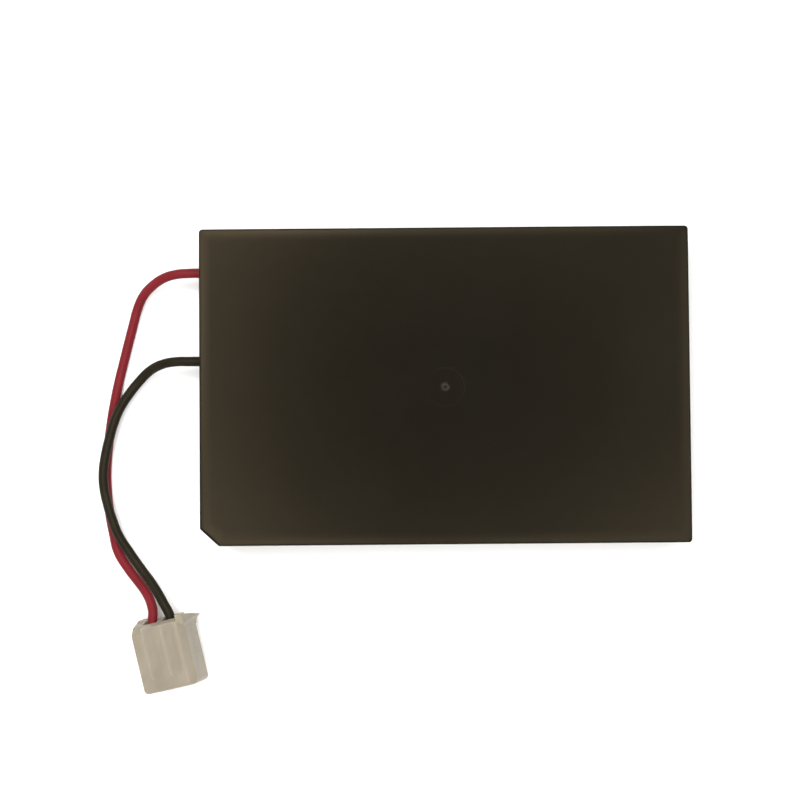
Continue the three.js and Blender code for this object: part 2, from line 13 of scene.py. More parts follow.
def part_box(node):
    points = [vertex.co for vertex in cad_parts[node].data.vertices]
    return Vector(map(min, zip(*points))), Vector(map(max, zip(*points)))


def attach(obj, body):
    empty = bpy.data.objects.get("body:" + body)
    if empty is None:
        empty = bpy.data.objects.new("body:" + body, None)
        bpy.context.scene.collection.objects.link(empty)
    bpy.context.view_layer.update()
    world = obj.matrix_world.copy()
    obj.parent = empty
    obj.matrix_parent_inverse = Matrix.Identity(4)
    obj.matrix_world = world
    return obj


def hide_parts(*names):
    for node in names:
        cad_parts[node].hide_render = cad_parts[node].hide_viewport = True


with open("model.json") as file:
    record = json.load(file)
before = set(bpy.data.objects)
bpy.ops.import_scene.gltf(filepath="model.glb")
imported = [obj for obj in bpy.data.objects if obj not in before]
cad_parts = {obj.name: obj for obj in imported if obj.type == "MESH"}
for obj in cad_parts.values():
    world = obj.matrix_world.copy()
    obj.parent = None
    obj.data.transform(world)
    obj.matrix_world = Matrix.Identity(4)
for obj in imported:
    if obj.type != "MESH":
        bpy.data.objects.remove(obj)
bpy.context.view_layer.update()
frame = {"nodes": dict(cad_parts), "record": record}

MM = 0.001
case_low, case_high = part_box("case_shell")
case_centre = (case_low + case_high) / 2


def mount(name):
    """One of the record's mounts: a point on a flat face, and the way that the face looks."""
    return next(m for m in frame["record"]["mounts"] if m["name"] == name)


case_top = mount("case_top")["pos_m"][2]


# ---- camera ---------------------------------------------------------------------------------

CAMERA_HEIGHT = 250 * MM
CAMERA_AIM = Vector((-5.48 * MM, -1.76 * MM, 0))
CAMERA_TILT = math.radians(2.56)
CAMERA_ROLL = math.radians(-0.48)
CAMERA_LENS = 92.16


def make_camera():
    """Almost square above the case, leaning a little towards -Y, aimed between case and leads."""
    data = bpy.data.cameras.new("camera")
    data.lens = CAMERA_LENS
    data.clip_start = 0.01
    camera = bpy.data.objects.new("camera", data)
    bpy.context.scene.collection.objects.link(camera)
    turn = Matrix.Rotation(CAMERA_TILT, 4, "X") @ Matrix.Rotation(CAMERA_ROLL, 4, "Z")
    aim = Vector((case_centre.x, case_centre.y, case_top)) + CAMERA_AIM
    camera.matrix_world = Matrix.Translation(aim) @ turn @ Matrix.Translation((0, 0, CAMERA_HEIGHT))
    bpy.context.scene.camera = camera


make_camera()


# ---- materials ------------------------------------------------------------------------------

# In millimetres: the gate mark's middle, the two radii of the paler ring where it was torn off, and
# how far either edge of that ring is softened to each side.
GATE_AT = (0.09, -0.2, case_top / MM)
GATE_TEAR = (0.15, 0.47)
TEAR_SOFTNESS = 0.06

# The colour sockets of a Mix node, which share their names with its sockets for other values.
MIX_FACTOR, MIX_A, MIX_B, MIX_RESULT = 0, 6, 7, 2

GRAINS_PER_CLOUD = 12


def linear(red, green, blue):
    """An sRGB colour from 0 to 255 as the linear one that a shader takes."""
    def one(value):
        value /= 255
        return value / 12.92 if value <= 0.04045 else ((value + 0.055) / 1.055) ** 2.4
    return (one(red), one(green), one(blue), 1)


def set_range(map_range, *limits):
    """Sets a Map Range node to carry the first two limits to the other two."""
    for socket, limit in zip(("From Min", "From Max", "To Min", "To Max"), limits):
        map_range.inputs[socket].default_value = limit


class Surface:
    """A procedural material: a Principled shader with tone, roughness and relief from noises."""

    def __init__(self, name, **sockets):
        self.material = bpy.data.materials.new(name)
        self.material.use_nodes = True
        self.tree = self.material.node_tree
        self.tree.nodes.clear()
        self.shader = self.node("ShaderNodeBsdfPrincipled")
        out = self.node("ShaderNodeOutputMaterial")
        self.link(self.shader.outputs["BSDF"], out.inputs["Surface"])
        self.place = self.node("ShaderNodeTexCoord").outputs["Object"]
        self.relief = None
        for socket, value in sockets.items():
            self.shader.inputs[socket.replace("_", " ")].default_value = value

    def node(self, kind, **settings):
        made = self.tree.nodes.new(kind)
        for setting, value in settings.items():
            setattr(made, setting, value)
        return made

    def link(self, source, target):
        self.tree.links.new(source, target)

    def noise(self, size_mm, detail=3.0, stretch=(1, 1, 1), roughness=0.55):
        """A noise whose features are about size_mm across, drawn out along stretched axes."""
        spread = self.node("ShaderNodeMapping")
        spread.inputs["Scale"].default_value = [1 / (size_mm * MM * s) for s in stretch]
        self.link(self.place, spread.inputs["Vector"])
        noise = self.node("ShaderNodeTexNoise")
        noise.inputs["Scale"].default_value = 1
        noise.inputs["Detail"].default_value = detail
        noise.inputs["Roughness"].default_value = roughness
        self.link(spread.outputs["Vector"], noise.inputs["Vector"])
        return noise.outputs["Fac"]

    def span(self, value, low, high, start=0.3, end=0.7):
        """value, carried from start..end to low..high and held inside it."""
        mapped = self.node("ShaderNodeMapRange")
        set_range(mapped, start, end, low, high)
        self.link(value, mapped.inputs["Value"])
        return mapped.outputs["Result"]

    def tones(self, value, dark, light):
        """The base colour runs from dark to light with value from 0 to 1."""
        mix = self.node("ShaderNodeMix", data_type="RGBA")
        mix.inputs[MIX_A].default_value = dark
        mix.inputs[MIX_B].default_value = light
        self.link(value, mix.inputs[MIX_FACTOR])
        self.link(mix.outputs[MIX_RESULT], self.shader.inputs["Base Color"])
        return mix

    def ring(self, centre_mm, radii_mm):
        """1 between the two radii round a point, and 0 elsewhere, with soft edges."""
        away = self.node("ShaderNodeVectorMath", operation="DISTANCE")
        away.inputs[1].default_value = Vector(centre_mm) * MM
        self.link(self.place, away.inputs[0])
        band = self.node("ShaderNodeMath", operation="MULTIPLY")
        for socket, radius, low, high in zip(band.inputs, radii_mm, (0, 1), (1, 0)):
            start, end = (radius - TEAR_SOFTNESS) * MM, (radius + TEAR_SOFTNESS) * MM
            self.link(self.span(away.outputs["Value"], low, high, start, end), socket)
        return band.outputs["Value"]

    def roughness(self, value, low, high):
        self.link(self.span(value, low, high), self.shader.inputs["Roughness"])

    def bump(self, height, depth_mm):
        """Adds relief: height from 0 to 1 stands depth_mm proud."""
        bump = self.node("ShaderNodeBump")
        bump.inputs["Distance"].default_value = depth_mm * MM
        self.link(height, bump.inputs["Height"])
        if self.relief:
            self.link(self.relief, bump.inputs["Normal"])
        self.relief = bump.outputs["Normal"]
        self.link(self.relief, self.shader.inputs["Normal"])


def case_plastic():
    """Satin, finely textured moulding in a dark, warm black, paler where the gate was torn off."""
    surface = Surface("case_plastic", Specular_IOR_Level=0.08, Specular_Tint=(1, 0.75, 0.46, 1))
    clouds = surface.noise(14, detail=5, roughness=0.6)
    plain = surface.tones(surface.span(clouds, 0, 1), linear(16, 15, 11), linear(19, 18, 14))
    grain = surface.noise(0.11, detail=2)
    tear = surface.node("ShaderNodeMix", data_type="RGBA")
    tear.inputs[MIX_B].default_value = linear(37, 37, 35)
    surface.link(surface.ring(GATE_AT, GATE_TEAR), tear.inputs[MIX_FACTOR])
    surface.link(plain.outputs[MIX_RESULT], tear.inputs[MIX_A])
    surface.link(tear.outputs[MIX_RESULT], surface.shader.inputs["Base Color"])
    surface.roughness(grain, 0.17, 0.23)
    surface.bump(grain, 0.0025)
    surface.bump(surface.noise(2.2, detail=2), 0.003)
    return surface.material


def insulation(name, dark, light):
    """Soft extruded insulation with a slight sheen, fine ripples and scuffs."""
    surface = Surface(name, Specular_IOR_Level=0.12, Specular_Tint=(1, 0.85, 0.65, 1))
    surface.tones(surface.span(surface.noise(2.5), 0, 1), dark, light)
    fine = surface.noise(0.25, detail=3)
    surface.roughness(fine, 0.45, 0.6)
    surface.bump(fine, 0.008)
    return surface.material


def nylon():
    """Natural nylon: milky, lit a little from within, with soft flow marks."""
    surface = Surface(
        "natural_nylon",
        Subsurface_Weight=0.5,
        Subsurface_Radius=(1.0, 0.85, 0.65),
        Subsurface_Scale=1.2 * MM,
        Specular_IOR_Level=0.2,
        Specular_Tint=(1, 0.92, 0.78, 1),
    )
    flow = surface.noise(1.8, detail=3, stretch=(1, 2, 1))
    surface.tones(surface.span(flow, 0, 1), linear(127, 120, 106), linear(138, 130, 116))
    fine = surface.noise(0.3, detail=2)
    surface.roughness(fine, 0.34, 0.48)
    surface.bump(fine, 0.006)
    return surface.material


def label_film():
    """Blank matt white label film, with the faint cloudiness and tooth of coated film."""
    surface = Surface("label_film", Specular_IOR_Level=0.35)
    clouds = surface.noise(4, detail=4)
    surface.tones(surface.span(clouds, 0, 1), linear(212, 210, 204), linear(220, 218, 212))
    tooth = surface.noise(0.12, detail=2)
    surface.roughness(tooth, 0.45, 0.6)
    surface.bump(tooth, 0.004)
    return surface.material


def metal(name, dark, light, grain_mm, stretch, rough):
    """Sheet or wire metal with drawn grain along one axis."""
    surface = Surface(name, Metallic=1.0)
    lines = surface.noise(grain_mm, detail=2, stretch=stretch)
    surface.tones(surface.span(lines, 0, 1), dark, light)
    surface.roughness(lines, rough - 0.08, rough + 0.1)
    surface.bump(lines, 0.003)
    return surface.material


def coated(name, dark, light, grain_mm, rough, depth_mm):
    """Any other matt or satin material: broad tone changes and a fine relief."""
    surface = Surface(name, Specular_IOR_Level=0.4)
    clouds = surface.noise(grain_mm * GRAINS_PER_CLOUD, detail=4)
    surface.tones(surface.span(clouds, 0, 1), dark, light)
    fine = surface.noise(grain_mm, detail=3)
    surface.roughness(fine, rough - 0.08, rough + 0.08)
    surface.bump(fine, depth_mm)
    return surface.material


# Each row: a slot, its dark and light tones, and the other arguments of the function that makes it.
INSULATIONS = {
    "red_insulation": ((99, 22, 30), (110, 26, 35)),
    "black_insulation": ((21, 18, 11), (30, 26, 17)),
}
METALS = {
    "pouch_film": ((168, 169, 171), (196, 197, 199), 0.4, (1, 1, 1), 0.36),
    "aluminium": ((190, 192, 194), (212, 214, 216), 0.1, (12, 1, 1), 0.34),
    "nickel": ((160, 156, 146), (186, 182, 172), 0.1, (12, 1, 1), 0.34),
    "solder": ((168, 170, 172), (196, 198, 200), 0.2, (1, 1, 1), 0.28),
    "copper": ((176, 108, 66), (204, 134, 88), 0.06, (1, 12, 1), 0.3),
    "tinned_contact": ((176, 176, 172), (204, 204, 200), 0.1, (1, 8, 1), 0.26),
}
COATINGS = {
    "foam": ((44, 44, 46), (66, 66, 68), 0.3, 0.92, 0.05),
    "anode_coating": ((34, 34, 37), (48, 48, 51), 0.1, 0.8, 0.006),
    "cathode_coating": ((44, 42, 40), (62, 60, 56), 0.1, 0.75, 0.006),
    "separator_film": ((225, 225, 221), (240, 240, 237), 0.1, 0.55, 0.006),
    "polyimide_tape": ((160, 104, 26), (190, 130, 44), 0.3, 0.3, 0.006),
    "sealant": ((206, 207, 198), (222, 223, 215), 0.2, 0.5, 0.006),
    "insulating_paper": ((190, 184, 158), (210, 205, 180), 0.15, 0.85, 0.006),
    "board": ((24, 66, 43), (38, 92, 60), 0.2, 0.42, 0.006),
    "chip": ((22, 22, 24), (36, 36, 38), 0.08, 0.6, 0.006),
    "ceramic": ((126, 112, 90), (150, 136, 112), 0.1, 0.5, 0.006),
}


def make_materials():
    """One material for each of the record's slots."""
    made = {"case": case_plastic(), "label": label_film(), "nylon": nylon()}
    for maker, rows in ((insulation, INSULATIONS), (metal, METALS), (coated, COATINGS)):
        for slot_name, (dark, light, *values) in rows.items():
            made[slot_name] = maker(slot_name, linear(*dark), linear(*light), *values)
    return made


materials = make_materials()


# ---- mesh tools -----------------------------------------------------------------------------
# Meshes are drawn in millimetres and brought to metres when they become objects.

# A cutting solid reaches this far past what it cuts.
PAST = 1

# The corners of a square, two wide and anticlockwise.
SQUARE = ((-1, -1), (1, -1), (1, 1), (-1, 1))


def spun(flat_vector, angle):
    return Matrix.Rotation(angle, 2) @ flat_vector


def bends(corners):
    """Each corner of an outline, with the ways back and into it from there and half its angle."""
    for i, corner in enumerate(corners):
        back = (corners[i - 1] - corner).normalized()
        onward = (corners[(i + 1) % len(corners)] - corner).normalized()
        yield corner, back, (back + onward).normalized(), back.angle(onward) / 2


def inset(corners, distance):
    """The corners of a convex, anticlockwise outline, moved in by a distance."""
    return [corner + middle * distance / math.sin(half) for corner, _, middle, half in bends(corners)]


def rounded(corners, radii, steps=6):
    """The points of a convex, anticlockwise outline with an arc at each corner."""
    points = []
    for (corner, back, middle, half), radius in zip(bends(corners), radii):
        centre = corner + middle * radius / math.sin(half)
        start = corner + back * radius / math.tan(half) - centre
        sweep = math.pi - 2 * half
        points += [centre + spun(start, sweep * step / steps) for step in range(steps + 1)]
    return points


def level(points, z):
    """Flat points lifted to a height."""
    return [Vector((p.x, p.y, z)) for p in points]


def circle(radius, count=64):
    return [spun(Vector((radius, 0)), math.tau * i / count) for i in range(count)]


def loft(bm, rings):
    """Skins a stack of rings with the same number of points each, and returns their vertices."""
    loops = [[bm.verts.new(point) for point in ring] for ring in rings]
    for lower, upper in zip(loops, loops[1:]):
        for i in range(len(lower)):
            j = (i + 1) % len(lower)
            bm.faces.new((lower[i], lower[j], upper[j], upper[i]))
    return loops


def rim_edges(bm, loop):
    return [bm.edges.get((loop[i - 1], loop[i])) for i in range(len(loop))]


def fill_between(bm, *loops):
    """Closes the flat area between an outer loop and the loops inside it."""
    edges = [edge for loop in loops for edge in rim_edges(bm, loop)]
    bmesh.ops.triangle_fill(bm, use_beauty=True, use_dissolve=False, edges=edges)


def solid(bm, name):
    """Closes the drawing: faces pointing out, in metres, as an object."""
    bmesh.ops.recalc_face_normals(bm, faces=bm.faces)
    bm.transform(Matrix.Scale(MM, 4))
    mesh = bpy.data.meshes.new(name)
    bm.to_mesh(mesh)
    bm.free()
    made = bpy.data.objects.new(name, mesh)
    bpy.context.scene.collection.objects.link(made)
    return made


def lofted(name, rings):
    """A closed solid from a stack of rings, capped at both ends."""
    bm = bmesh.new()
    loops = loft(bm, rings)
    bm.faces.new(loops[0])
    bm.faces.new(loops[-1])
    return solid(bm, name)


def prism(name, outline, start, end, axes):
    """A flat outline drawn out from start to end. axes names its plane's two axes and its length."""
    order = ["xyz".index(axis) for axis in axes]
    rings = []
    for along in (start, end):
        ring = []
        for point in outline:
            place = Vector()
            place[order[0]], place[order[1]], place[order[2]] = point[0], point[1], along
            ring.append(place)
        rings.append(ring)
    return lofted(name, rings)


def box(name, low, high):
    outline = [(low[0], low[1]), (high[0], low[1]), (high[0], high[1]), (low[0], high[1])]
    return prism(name, outline, low[2], high[2], "xyz")


def baked(piece):
    """Applies the piece's modifiers to its mesh."""
    bpy.context.view_layer.update()
    evaluated = piece.evaluated_get(bpy.context.evaluated_depsgraph_get())
    shaped = bpy.data.meshes.new_from_object(evaluated)
    piece.modifiers.clear()
    spare = piece.data
    piece.data = shaped
    bpy.data.meshes.remove(spare)


def combine(piece, operation, tools):
    """Joins the tools to the piece, or cuts them from it, one after another."""
    for tool in tools:
        step = piece.modifiers.new("combine", "BOOLEAN")
        step.operation = operation
        step.solver = "EXACT"
        step.object = tool
        baked(piece)
        spare = tool.data
        bpy.data.objects.remove(tool)
        bpy.data.meshes.remove(spare)


def shade(piece, sharp_degrees=32):
    """Smooth shading that follows the larger faces, with sharper edges left crisp."""
    piece.data.polygons.foreach_set("use_smooth", [True] * len(piece.data.polygons))
    piece.data.set_sharp_from_angle(angle=math.radians(sharp_degrees))
    normals = piece.modifiers.new("normals", "WEIGHTED_NORMAL")
    normals.keep_sharp = True


def show(piece, slot_name, *nodes):
    """Rides the piece on the root body, gives it the slot's material and hides what it stands for."""
    piece.data.materials.clear()
    piece.data.materials.append(materials[slot_name])
    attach(piece, "root")
    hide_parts(*nodes)


# ---- leads ----------------------------------------------------------------------------------

# The routes' points are in millimetres, from the solder joint to the crimp.
LEAD_DIAMETER = 1.2 * MM
RED_ROUTE = [
    (-27.6, 14.4, 4), (-29.5, 14.4, 4), (-31.6, 14.4, 3.95), (-33.3, 14.3, 3.65), (-34.9, 13.9, 2.95),
    (-36.4, 13.05, 2.05), (-37.6, 11.9, 1.25), (-38.4, 10.3, 0.8), (-39, 8.2, 0.62), (-39.6, 5.9, 0.61),
    (-40.2, 3.5, 0.61), (-40.8, 1.1, 0.61), (-41.3, -1.3, 0.61), (-41.75, -3.9, 0.61),
    (-42.1, -6.7, 0.61), (-42.35, -9.8, 0.61), (-42.3, -12.5, 0.61), (-42, -15.2, 0.61),
    (-41.5, -17.9, 0.62), (-40.95, -20.1, 0.71), (-39.6, -22.3, 0.98), (-38.3, -23.9, 1.5),
    (-37.2, -25.3, 2.2), (-36.5, -26.75, 2.8), (-36.32, -27.69, 3.05), (-36.38, -28.68, 3.07),
    (-36.2, -29.77, 3.05),
]
BLACK_ROUTE = [
    (-27.6, 3.4, 4), (-29.5, 3.4, 4), (-31.6, 3.42, 3.95), (-33.4, 3.42, 3.6), (-35.1, 3.15, 2.95),
    (-36.7, 2.4, 2.2), (-38.2, 1, 1.68), (-39.5, -0.6, 1.55), (-40.5, -2.2, 1.71), (-41.25, -4, 1.87),
    (-41.8, -5.9, 1.9), (-42.3, -8, 1.9), (-42.6, -10.3, 1.9), (-42.5, -12.2, 1.9), (-42.1, -14.1, 1.9),
    (-41.5, -16.1, 1.9), (-40.7, -18.1, 1.88), (-39.4, -20.15, 1.9), (-37.9, -22.25, 2.2),
    (-36.6, -23.9, 2.74), (-35.6, -25.35, 3.25), (-34.8, -26.75, 3.55), (-34.35, -27.55, 3.61),
    (-34.08, -28.29, 3.61), (-33.83, -29.21, 3.62),
]


def make_lead(name, route):
    """The lead's insulation as a round tube along one smooth curve through the route's points."""
    curve = bpy.data.curves.new(name, "CURVE")
    curve.dimensions = "3D"
    curve.bevel_depth = LEAD_DIAMETER / 2
    curve.bevel_resolution = 7
    curve.use_fill_caps = True
    curve.resolution_u = 10
    spline = curve.splines.new("BEZIER")
    spline.bezier_points.add(len(route) - 1)
    for point, place in zip(spline.bezier_points, route):
        point.co = Vector(place) * MM
        point.handle_left_type = point.handle_right_type = "AUTO"
    lead = bpy.data.objects.new(name, curve)
    bpy.context.scene.collection.objects.link(lead)
    return lead


def route_length(route):
    """The length of the straight runs between a route's points, in metres."""
    return sum((Vector(b) - Vector(a)).length for a, b in zip(route, route[1:])) * MM


red_lead = make_lead("red_insulation", RED_ROUTE)
black_lead = make_lead("black_insulation", BLACK_ROUTE)
show(red_lead, "red_insulation", "red_lead")
show(black_lead, "black_insulation", "black_lead")


# ---- case -----------------------------------------------------------------------------------

# All in millimetres. The roll is how the top face falls towards its edge, as reach from the outline
# and drop, and the edge's fillet carries on from it through an angle in degrees. The recess's wall is
# given as draw-in and height.
CASE_X, CASE_Y = (case_high.x - case_low.x) / MM, (case_high.y - case_low.y) / MM
CASE_Z = case_top / MM
KEY = Vector((2.3, 2.1))
CORNER_R = 0.45
KEY_R = 0.35
LEAST_CORNER_R = 0.1
TOP_ROLL = [(1.5, 0), (1.0, 0.005), (0.65, 0.015), (0.42, 0.027)]
TOP_ROLL_DROP = 0.04
TOP_EDGE_R = 0.22
TOP_EDGE_SWEEP = 82
TOP_EDGE_STEPS = 6
SIDE_MIDDLE_Z = 4
BASE_EDGE_R = 0.15
RIM_WALL = 1.0
RIM_CORNER_R = 0.35
LEDGE_Z = 1.05
WALL = 1.4
INNER_CORNER_R = 0.3
CEILING_Z = CASE_Z - 1
LEAD_HOLE_R = 0.8
LEAD_HOLE_FLARE = 0.12
LEAD_HOLE_FLARE_DEPTH = 0.15
GATE_R = 2.45
GATE_DEPTH = 0.014
COVER_INSET = 1.15
COVER_TOP = 1.0
COVER_EDGE = 0.14
COVER_EASE = 0.04
LABEL_RECESS = Vector((50, 30)) / 2
LABEL_RECESS_WALL = [(0, 0), (0.03, 0.04), (0.05, 0.2)]
LABEL_CORNER_R = 1.7
LABEL_GAP = 0.2
LABEL_THICKNESS = 0.15
LABEL_EDGE = 0.04
LABEL_EDGE_DEPTH = 0.03


def case_ring(inset_by, z, corner_r=None):
    """The case's plan outline, keyed corner first, drawn in by a distance."""
    x, y = CASE_X / 2, CASE_Y / 2
    keyed = [Vector((-x, -y + KEY.y)), Vector((-x + KEY.x, -y))]
    square = [Vector((x, -y)), Vector((x, y)), Vector((-x, y))]
    radius = corner_r or max(CORNER_R - inset_by, LEAST_CORNER_R)
    radii = [min(KEY_R, radius)] * len(keyed) + [radius] * len(square)
    return level(rounded(inset(keyed + square, inset_by), radii), z)


def gate_profile():
    """The gate mark's section, as radius and height: a faint dish with a torn, cratered stub."""
    floor = CASE_Z - GATE_DEPTH
    dish = [(GATE_R, CASE_Z), (GATE_R - 0.05, CASE_Z - 0.003), (GATE_R - 0.17, floor + 0.003)]
    foot = [(GATE_R - 0.25, floor), (0.9, floor), (0.6, floor), (0.55, floor + 0.003), (0.47, floor + 0.035)]
    lip = [(0.4, floor + 0.06), (0.34, floor + 0.075), (0.28, floor + 0.07), (0.22, floor + 0.045)]
    crater = [(0.16, floor + 0.01), (0.1, floor - 0.02), (0.05, floor - 0.03)]
    return dish + foot + lip + crater


def shell_rings():
    """The shell's skin as one stack: from its top down its outside, and up its inside to the ceiling."""
    rings = [case_ring(reach, CASE_Z - drop) for reach, drop in TOP_ROLL]
    for step in range(TOP_EDGE_STEPS + 1):
        angle = math.radians(TOP_EDGE_SWEEP) * (1 - step / TOP_EDGE_STEPS)
        drop = TOP_EDGE_R * (1 - math.sin(angle)) + TOP_ROLL_DROP
        rings.append(case_ring(TOP_EDGE_R * (1 - math.cos(angle)), CASE_Z - drop))
    return rings + [
        case_ring(0, SIDE_MIDDLE_Z),
        case_ring(0, BASE_EDGE_R),
        case_ring(0.3 * BASE_EDGE_R, 0.3 * BASE_EDGE_R),
        case_ring(BASE_EDGE_R, 0),
        case_ring(RIM_WALL, 0, RIM_CORNER_R),
        case_ring(RIM_WALL, LEDGE_Z, RIM_CORNER_R),
        case_ring(WALL, LEDGE_Z, INNER_CORNER_R),
        case_ring(WALL, CEILING_Z, INNER_CORNER_R),
    ]


def lead_hole(route):
    """The cutter of the hole that a lead leaves by, flared at the wall's outer face."""
    y, z = route[0][1], route[0][2]
    face = -CASE_X / 2
    stations = [
        (face - PAST, LEAD_HOLE_R + LEAD_HOLE_FLARE),
        (face, LEAD_HOLE_R + LEAD_HOLE_FLARE),
        (face + LEAD_HOLE_FLARE_DEPTH, LEAD_HOLE_R),
        (face + WALL + PAST, LEAD_HOLE_R),
    ]
    return lofted("lead_hole", [
        [Vector((x, y + p.x, z + p.y)) for p in circle(radius, 40)] for x, radius in stations
    ])


def make_case():
    """The deep shell, with its gate mark, its pocket for the cover and its two lead holes."""
    bm = bmesh.new()
    loops = loft(bm, shell_rings())
    bm.faces.new(loops[-1])
    gate_middle = Vector(GATE_AT[:2])
    gate = loft(bm, [level([gate_middle + p for p in circle(radius)], z) for radius, z in gate_profile()])
    bm.faces.new(gate[-1])
    fill_between(bm, loops[0], gate[0])
    case = solid(bm, "case_body")
    combine(case, "DIFFERENCE", [lead_hole(RED_ROUTE), lead_hole(BLACK_ROUTE)])
    shade(case)
    show(case, "case", "case_shell")


def label_ring(shrink, z):
    """The label recess's outline, drawn in by a distance."""
    x, y = LABEL_RECESS.x - shrink, LABEL_RECESS.y - shrink
    corners = [Vector((-x, -y)), Vector((x, -y)), Vector((x, y)), Vector((-x, y))]
    return level(rounded(corners, [LABEL_CORNER_R - shrink] * 4, steps=10), z)


def make_cover():
    """The flat cover in the rim, with eased edges and a shallow recess for the label."""
    bm = bmesh.new()
    outside = loft(bm, [
        case_ring(COVER_INSET + COVER_EDGE, 0, INNER_CORNER_R),
        case_ring(COVER_INSET + COVER_EASE, COVER_EASE, INNER_CORNER_R),
        case_ring(COVER_INSET, COVER_EDGE, INNER_CORNER_R),
        case_ring(COVER_INSET, COVER_TOP, INNER_CORNER_R),
    ])
    bm.faces.new(outside[-1])
    recess = loft(bm, [label_ring(shrink, z) for shrink, z in LABEL_RECESS_WALL])
    bm.faces.new(recess[-1])
    fill_between(bm, outside[0], recess[0])
    cover = solid(bm, "base_cover")
    shade(cover)
    show(cover, "case", "case_cover")


def make_label():
    """The blank label: a thin film with rounded corners and softened edges."""
    label = lofted("label_sheet", [
        label_ring(LABEL_GAP + LABEL_EDGE, 0),
        label_ring(LABEL_GAP, LABEL_EDGE_DEPTH),
        label_ring(LABEL_GAP, LABEL_THICKNESS - LABEL_EDGE_DEPTH),
        label_ring(LABEL_GAP + LABEL_EDGE, LABEL_THICKNESS),
    ])
    shade(label)
    show(label, "label", "blank_label")


# ---- crimp housing --------------------------------------------------------------------------
# Drawn in millimetres on the housing's own axes: x from the wire end to the mating end, y across, z up.

HOUSING = Vector((8.7, 6.8, 5.4))
HOUSING_ROLL = math.radians(13)
EDGE_R = 0.3
SHOULDER = 0.8
SHOULDER_R = 0.5
WAY_PITCH = 2.5
WAYS = [HOUSING.y / 2 - WAY_PITCH / 2, HOUSING.y / 2 + WAY_PITCH / 2]
WAY_SIZE = Vector((1.8, 2.4))
WAY_END = 7.6
PIN_HALF = 0.5
PIN_FLARE_HALF = 0.75
PIN_FLARE_DEPTH = 0.35
WINDOW_X = (3.2, 4.8)
WINDOW_HALF = 0.5
MOUTH_Z = 2.6
MOUTH_BACK = 0.7
EAR_Y = 6.1
EAR_BACK = -0.1
EAR_FOOT = 1.7
EAR_TIP = 0.6
EAR_REACH = 0.8
EAR_HOOK = 2.2
EAR_LOW = -0.25
LUG_REACH = 0.34
GROOVE_END = 7.2
GROOVE_RUN_OUT = 0.6
GROOVE_HALF = 0.85
GROOVE_DEPTH = 0.12
GROOVE_END_HALF = 0.7
GROOVE_END_DEPTH = 0.02
GROOVE_SECTION = ((-0.6, 1), (0.6, 1), (1.5, -1), (-1.5, -1))
VOXEL_SIZE = 0.055 * MM


def housing_matrix():
    """Where the housing lies: its mating face is a mount, and it is rolled onto one long edge."""
    face = mount("connector_face")
    heading = math.atan2(face["axis"][1], face["axis"][0])
    turn = Matrix.Rotation(heading, 4, "Z") @ Matrix.Rotation(HOUSING_ROLL, 4, "X")
    face_middle = Vector((HOUSING.x, HOUSING.y / 2, HOUSING.z / 2)) * MM
    return Matrix.Translation(Vector(face["pos_m"]) - turn @ face_middle) @ turn


def housing_block():
    """The block, with one broad shoulder, eased at its wire end and chamfered at its mating end."""
    y, z = HOUSING.y, HOUSING.z
    corners = [Vector(c) for c in ((0, 0), (y, 0), (y, z - SHOULDER), (y - SHOULDER, z), (0, z))]
    radii = [EDGE_R, EDGE_R, SHOULDER_R, SHOULDER_R, EDGE_R]
    stations = [(0, 0.1), (0.1, 0), (HOUSING.x - 0.42, 0), (HOUSING.x - 0.12, 0.16), (HOUSING.x, 0.4)]
    rings = []
    for along, shrink in stations:
        section = rounded(inset(corners, shrink), [radius - 0.4 * shrink for radius in radii])
        rings.append([Vector((along, p.x, p.y)) for p in section])
    return lofted("connector_housing", rings)


def housing_ear():
    """The ear at one corner of the wire end: a hook that falls away at its top and flares downwards."""
    steps = 8
    top, side = HOUSING.z, HOUSING.y
    outline = [(EAR_BACK, EAR_Y), (EAR_FOOT, EAR_Y)]
    for t in (step / steps for step in range(steps + 1)):
        outline.append((EAR_FOOT + (EAR_TIP - EAR_FOOT) * t, side - 0.02 + EAR_REACH * t ** EAR_HOOK))
    outline += [(0.3, side + EAR_REACH), (EAR_BACK, side + 0.6 * EAR_REACH)]
    ear = prism("ear", outline, EAR_LOW, top - 0.02, "xyz")
    fall = [
        (side - SHOULDER, top), (side + 0.1, top - 0.45), (side + EAR_REACH, 0), (side + EAR_REACH, -PAST),
        (side + 2, -PAST), (side + 2, top + PAST), (side - SHOULDER, top + PAST),
    ]
    slope = [
        (0.8, top), (EAR_FOOT, top - SHOULDER), (2, top - SHOULDER), (2, top + PAST), (0.8, top + PAST),
    ]
    combine(ear, "DIFFERENCE", [
        prism("fall", fall, -PAST, 3, "yzx"),
        prism("slope", slope, 5, side + 2, "xzy"),
    ])
    return ear


def housing_lug():
    """The low lug at the other corner of the wire end."""
    outline = [(0.3, 0.02), (-0.05, 0.05), (-LUG_REACH, 0.35), (0, 1.4), (0.3, 1.4)]
    return prism("lug", outline, 0.1, MOUTH_Z - 0.1, "xyz")


def bars(name, stations, section):
    """A cutter along x. Its stations give their x, then the section's middle and scale in y and in z."""
    return lofted(name, [
        [Vector((along, y + wide * a, z + high * b)) for a, b in section]
        for along, y, wide, z, high in stations
    ])


